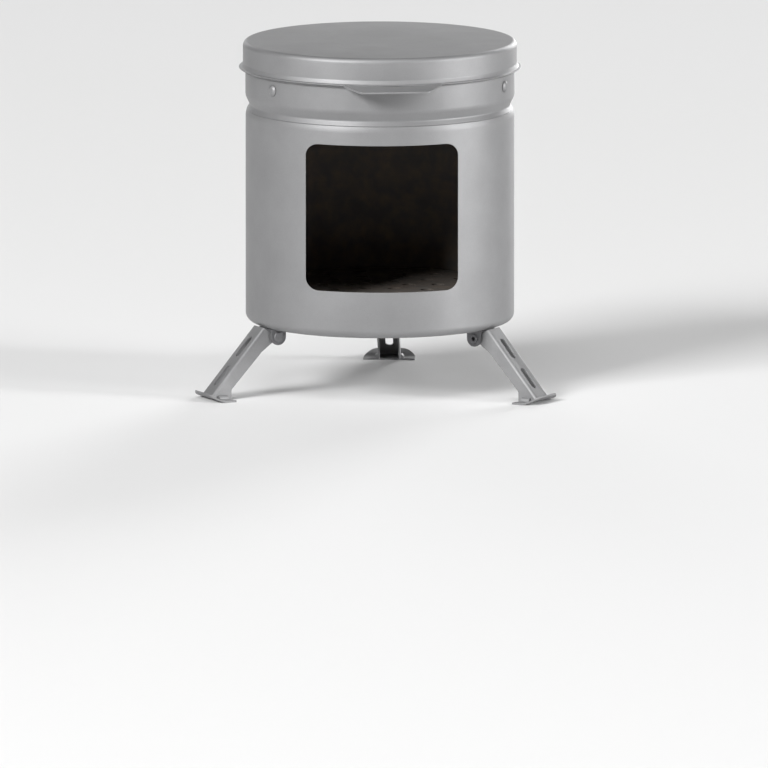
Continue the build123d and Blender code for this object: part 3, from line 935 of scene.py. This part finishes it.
@dataclass
class LegSet:
    """The three slotted channel legs, with the brackets, pins and rivets that hold them."""

    hinge_radius: float = 58.3
    hinge_level: float = 29.2
    # From the middle of a hinge to the outer face of each cheek.
    cheek: float = 6.65
    pin: float = 1.25
    pin_head: float = 2.6
    pin_head_height: float = 0.9
    pin_head_corner: float = 0.6
    pin_tail: float = 2.3
    pin_tail_height: float = 0.7
    pin_tail_corner: float = 0.4
    pin_bore: float = 0.9
    pin_bore_depth: float = 2.2
    pin_bore_corner: float = 0.2
    rivet: float = 1.0
    rivet_head: float = 1.9
    rivet_head_height: float = 0.6
    rivet_head_corner: float = 0.35
    rivet_tail: float = 1.68
    rivet_tail_corner: float = 0.25
    rivet_brim_corner: float = 0.1
    plate_underside: float = 32.0
    floor_top: float = 33.6
    # A foot's far edge curls up: from here outward, this far, by this much, below this level.
    curl_start: float = 88.0
    curl_reach: float = 8.5
    curl_rise: float = 1.8
    curl_below: float = 3.4

    def leg_piece(self, packed: dict, side: str, paints: Paintbox) -> bpy.types.Object:
        """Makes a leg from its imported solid, the far side of its foot curled up a little more.

        Args:
            packed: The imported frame.
            side: Which leg, as in the solid's name.
            paints: The stove's materials.

        Returns:
            The piece.
        """
        piece = refined(packed, f"leg_{side}", f"leg_{side}", "leg_titanium", paints.leg)
        for vert in piece.data.vertices:
            past = vert.co.xy.length / MM - self.curl_start
            if past > 0 and vert.co.z < self.curl_below * MM:
                vert.co.z += self.curl_rise * (past / self.curl_reach) ** 3 * MM
        return piece

    def pin_shape(self, leg: LegPlace) -> bmesh.types.BMesh:
        """Makes a hinge pin: a smooth head at one end, a hollow rolled end at the other.

        Args:
            leg: The leg that hangs on it.

        Returns:
            The pin in its place.
        """
        head_end = -self.cheek - self.pin_head_height
        tail_end = self.cheek + self.pin_tail_height
        bore_end = tail_end - self.pin_bore_depth
        section = [(0, head_end, 0), (self.pin_head, head_end, self.pin_head_corner),
                   (self.pin_head, -self.cheek, 0), (self.pin, -self.cheek, 0),
                   (self.pin, self.cheek, 0), (self.pin_tail, self.cheek, 0),
                   (self.pin_tail, tail_end, self.pin_tail_corner),
                   (self.pin_bore, tail_end, self.pin_tail_corner),
                   (self.pin_bore, bore_end, self.pin_bore_corner), (0, bore_end, 0)]
        place = standing_frame(leg.value, self.hinge_radius, self.hinge_level)
        return put(turned(section, steps=48, segments=5), place @ quarter_turn("X"))

    def rivet_shapes(self) -> list[bmesh.types.BMesh]:
        """Makes the six rivets that hold the brackets to the floor.

        Returns:
            The rivets in their places.
        """
        head_top = self.floor_top + self.rivet_head_height
        tail_end = self.plate_underside - self.rivet_head_height
        section = [(0, head_top, 0), (self.rivet_head, head_top, self.rivet_head_corner),
                   (self.rivet_head, self.floor_top, 0), (self.rivet, self.floor_top, 0),
                   (self.rivet, self.plate_underside, 0),
                   (self.rivet_head, self.plate_underside, self.rivet_brim_corner),
                   (self.rivet_tail, tail_end, self.rivet_tail_corner), (0, tail_end, 0)]
        return [put(turned(section, steps=32, segments=4), place)
                for place in bracket_rivet_places()]

    def build(self, packed: dict, paints: Paintbox) -> list[bpy.types.Object]:
        """Makes and dresses the legs, brackets, pins and bracket rivets.

        Args:
            packed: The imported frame.
            paints: The stove's materials.

        Returns:
            The pieces.
        """
        made = []
        for leg in LegPlace:
            side = leg.name.lower()
            made.append(self.leg_piece(packed, side, paints))
            made.append(refined(packed, f"leg_bracket_{side}", "stove_body", "bracket_titanium",
                                paints.bracket))
            made.append(fastener(self.pin_shape(leg), "stove_body", f"leg_pin_{side}",
                                 paints.rivet))
        made.append(fastener(gather(self.rivet_shapes()), "stove_body", "bracket_rivets",
                             paints.rivet))
        return made


# Pot supports inside the collar


@dataclass
class SupportSet:
    """The three folding arms that carry a pot, with their brackets, pins and rivets."""

    wall: float = 65.1
    plate_face: float = 63.2
    rivet: float = 1.5
    rivet_head: float = 2.8
    rivet_head_height: float = 1.2
    # The head's flat crown as a share of its radius, and the brim that it falls to.
    rivet_crown: float = 0.62
    rivet_crown_corner: float = 1.4
    rivet_brim: float = 0.35
    rivet_tail: float = 2.2
    rivet_tail_height: float = 0.9
    rivet_tail_corner: float = 0.4
    hinge_radius: float = 59.5
    hinge_level: float = 145.05
    # From the middle of a hinge to the outer face of each ear.
    ear: float = 5.15
    pin: float = 1.0
    pin_head: float = 1.8
    pin_head_height: float = 0.6
    pin_head_corner: float = 0.25

    def rivet_shape(self, support: SupportPlace) -> bmesh.types.BMesh:
        """Makes a rivet through the collar's wall, with a low domed head outside.

        Args:
            support: The pot support that it holds.

        Returns:
            The rivet in its place.
        """
        crown = self.wall + self.rivet_head_height
        tail_end = self.plate_face - self.rivet_tail_height
        section = [(0, crown, 0),
                   (self.rivet_head * self.rivet_crown, crown, self.rivet_crown_corner),
                   (self.rivet_head, self.wall + self.rivet_brim, self.rivet_brim),
                   (self.rivet_head, self.wall, 0), (self.rivet, self.wall, 0),
                   (self.rivet, self.plate_face, 0), (self.rivet_tail, self.plate_face, 0),
                   (self.rivet_tail, tail_end, self.rivet_tail_corner), (0, tail_end, 0)]
        place = standing_frame(support.value, height=SUPPORT_RIVET_LEVEL)
        return put(turned(section, steps=64, segments=6), place @ quarter_turn("Y"))

    def pin_shape(self, support: SupportPlace) -> bmesh.types.BMesh:
        """Makes an arm's hinge pin, headed at both ends.

        Args:
            support: The pot support that turns on it.

        Returns:
            The pin in its place.
        """
        end = self.ear + self.pin_head_height
        section = [(0, -end, 0), (self.pin_head, -end, self.pin_head_corner),
                   (self.pin_head, -self.ear, 0), (self.pin, -self.ear, 0),
                   (self.pin, self.ear, 0), (self.pin_head, self.ear, 0),
                   (self.pin_head, end, self.pin_head_corner), (0, end, 0)]
        place = standing_frame(support.value, self.hinge_radius, self.hinge_level)
        return put(turned(section, steps=32, segments=4), place @ quarter_turn("X"))

    def build(self, packed: dict, paints: Paintbox) -> list[bpy.types.Object]:
        """Makes and dresses the arms, brackets, pins and rivets.

        Args:
            packed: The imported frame.
            paints: The stove's materials.

        Returns:
            The pieces.
        """
        made = []
        for support in SupportPlace:
            side = support.name.lower()
            made.append(refined(packed, f"pot_support_{side}", f"pot_support_{side}",
                                "leg_titanium", paints.scorched))
            made.append(refined(packed, f"support_bracket_{side}", "collar", "bracket_titanium",
                                paints.scorched))
            made.append(fastener(self.pin_shape(support), "collar", f"support_pin_{side}",
                                 paints.scorched))
        rivets = gather(self.rivet_shape(support) for support in SupportPlace)
        made.append(fastener(rivets, "collar", "support_rivets", paints.shell))
        return made


# Tray and grate


@dataclass
class AshTray:
    """The dish under the grate, with vents in its wall and three pressed feet."""

    radius: float = 57.0
    floor: float = 37.6
    rim: float = 49.0
    sheet: float = 0.6
    facets: int = 192
    corner: float = 3.0
    ground: float = 33.6
    foot: float = 6.0
    foot_corner: float = 1.2
    foot_circle: float = 38.0
    foot_turn: float = 30.0
    feet: int = 3
    # A foot's wall ends this far under the dish's upper face, and its hole is this much smaller.
    foot_recess: float = 0.05
    foot_overlap: float = 0.1
    vent: float = 2.5
    vents: int = 12

    def foot_shapes(self) -> list[bmesh.types.BMesh]:
        """Makes the cups pressed down from the tray's floor.

        Returns:
            The feet in their places.
        """
        section = [(0, self.ground, 0), (self.foot, self.ground, self.foot_corner),
                   (self.foot, self.floor + self.sheet - self.foot_recess, 0)]
        shapes = []
        for number in range(self.feet):
            angle = math.radians(self.foot_turn) + math.tau * number / self.feet
            spot = Vector((math.cos(angle), math.sin(angle), 0)) * (self.foot_circle * MM)
            cup = turned(section, steps=48, sheet=self.sheet, segments=5)
            shapes.append(put(cup, Matrix.Translation(spot)))
        return shapes

    def build(self, paints: Paintbox) -> bpy.types.Object:
        """Makes and dresses the tray.

        Args:
            paints: The stove's materials.

        Returns:
            The piece.
        """
        section = [(0, self.floor, 0), (self.radius, self.floor, self.corner),
                   (self.radius, self.rim, 0)]
        dish = to_piece(turned(section, self.facets, self.sheet), "tray_dish")
        vent_level = (self.floor + self.rim) / 2
        vents = [radial_drill(self.vent, 360.0 * number / self.vents, self.radius, vent_level)
                 for number in range(self.vents)]
        wells = ring_drills(self.foot - self.foot_overlap, ((self.foot_circle, self.feet),),
                            self.floor, self.foot_turn)
        carve(dish, gather([*vents, *wells]))
        piece = to_piece(gather([reopen(dish), *self.foot_shapes()]), "ash_dish")
        # The ash-dusted finish is dark partly as painted shade for the unlit inside.
        dress(piece, "fired_metal", paints.ashen_and_shaded)
        return fit(piece, "ash_tray", "ash_tray")


@dataclass
class FireGrate:
    """The pierced disc that holds the wood, with a lip round the tray's rim."""

    radius: float = 58.6
    top: float = 50.0
    lip: float = 47.8
    sheet: float = 1.0
    facets: int = 192
    corner: float = 1.5
    hole: float = 3.0
    rings: tuple[tuple[float, int], ...] = ((0.0, 1), (14.0, 6), (28.0, 10), (43.0, 14))

    def build(self, paints: Paintbox) -> bpy.types.Object:
        """Makes and dresses the grate.

        Args:
            paints: The stove's materials.

        Returns:
            The piece.
        """
        section = [(self.radius, self.lip, 0), (self.radius, self.top, self.corner),
                   (0, self.top, 0)]
        piece = to_piece(turned(section, self.facets, self.sheet), "fire_disc")
        carve(piece, gather(ring_drills(self.hole, self.rings, self.top)))
        # The ash-dusted finish is dark partly as painted shade for the unlit inside.
        dress(piece, "fired_metal", paints.ashen_and_shaded)
        return fit(piece, "fire_grate", "fire_grate")


# Studio


@dataclass(frozen=True)
class SoftBox:
    """A rectangular studio light that faces the stove, with its sizes in metres."""

    name: str
    azimuth: float
    elevation: float
    distance: float
    width: float
    height: float
    power: float

    def build(self, target: Vector) -> None:
        """Adds the light.

        Args:
            target: The point that it is aimed at.
        """
        light = bpy.data.lights.new(self.name, "AREA")
        light.shape = "RECTANGLE"
        light.size, light.size_y = self.width, self.height
        light.energy = self.power
        lamp = bpy.data.objects.new(self.name, light)
        rise = math.radians(self.elevation)
        away = outward(self.azimuth) * math.cos(rise) + Vector((0, 0, math.sin(rise)))
        lamp.location = target + away * self.distance
        lamp.rotation_euler = away.to_track_quat("Z", "Y").to_euler()
        bpy.context.scene.collection.objects.link(lamp)


@dataclass
class Studio:
    """The pale floor, the soft lights and the camera at the photograph's angle.

    Sizes are metres, apart from the sensor's, which Blender takes in millimetres. The focal
    length and the place of the stove's middle are pixels of the square picture.
    """

    elevation: float = 8.4
    distance: float = 12.0
    focal_pixels: float = 24792.0
    picture: int = 768
    sensor_width: float = 36.0
    far_limit: float = 200.0
    middle_height: float = 0.090
    middle_pixel: tuple[float, float] = (379.9, 202.7)
    floor_radius: float = 40.0
    floor_facets: int = 96
    lights: tuple[SoftBox, ...] = (
        SoftBox("key_softbox", -43.0, 30.0, 7.5, 3.0, 2.0, 600.0),
        SoftBox("top_softbox", -10.0, 60.0, 7.5, 4.0, 3.0, 150.0),
        SoftBox("side_softbox", 73.0, 8.0, 7.5, 1.1, 4.0, 520.0),
        SoftBox("right_softbox", 62.0, 30.0, 7.5, 2.0, 2.0, 90.0),
        SoftBox("right_rim_softbox", 158.0, 12.0, 7.5, 2.2, 4.0, 400.0),
        SoftBox("left_rim_softbox", -165.0, 12.0, 7.5, 2.2, 4.0, 90.0),
    )
    air_tone: str = "#f4f5f6"
    air_strength: float = 0.01

    def build(self) -> None:
        """Makes the floor, the lights, the world and the camera."""
        paper = bmesh.new()
        bmesh.ops.create_circle(paper, cap_ends=True, segments=self.floor_facets,
                                radius=self.floor_radius)
        floor = to_piece(paper, "studio_floor")
        floor.data.materials.append(FloorFinish().build())
        target = Vector((0, 0, self.middle_height))
        for light in self.lights:
            light.build(target)
        world = bpy.data.worlds.new("studio_air")
        world.use_nodes = True
        backdrop = world.node_tree.nodes["Background"]
        backdrop.inputs["Color"].default_value = linear(self.air_tone)
        backdrop.inputs["Strength"].default_value = self.air_strength
        bpy.context.scene.world = world
        bpy.context.scene.view_settings.view_transform = "Standard"
        self.camera()

    def camera(self) -> None:
        """Adds the camera so that the stove falls where the photograph has it."""
        lens = bpy.data.cameras.new("camera")
        lens.sensor_width = self.sensor_width
        lens.lens = self.focal_pixels / self.picture * lens.sensor_width
        lens.clip_end = self.far_limit
        holder = bpy.data.objects.new("camera", lens)
        half = self.picture / 2
        pan = math.atan((half - self.middle_pixel[0]) / self.focal_pixels)
        dip = math.atan((half - self.middle_pixel[1]) / self.focal_pixels)
        rise = math.radians(self.elevation)
        back = Vector((0, -math.cos(rise), math.sin(rise)))
        aim = math.pi / 2 - rise - dip
        holder.location = Vector((0, 0, self.middle_height)) + back * self.distance
        holder.rotation_euler = (aim, 0.0, -pan)
        bpy.context.scene.collection.objects.link(holder)
        bpy.context.scene.camera = holder


def main() -> None:
    """Builds the stove over its frame, and the studio round it."""
    logging.basicConfig(level=logging.INFO, format="%(name)s: %(message)s")
    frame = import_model()
    paints = Paintbox()
    pieces = [BodyShell().build(paints), TopCollar().build(paints), Lid().build(paints),
              AshTray().build(paints), FireGrate().build(paints)]
    pieces += LegSet().build(frame, paints)
    pieces += SupportSet().build(frame, paints)
    for piece in pieces:
        LOG.info("%s: %d faces", piece.name, len(piece.data.polygons))
    Studio().build()


if __name__ == "__main__":
    main()
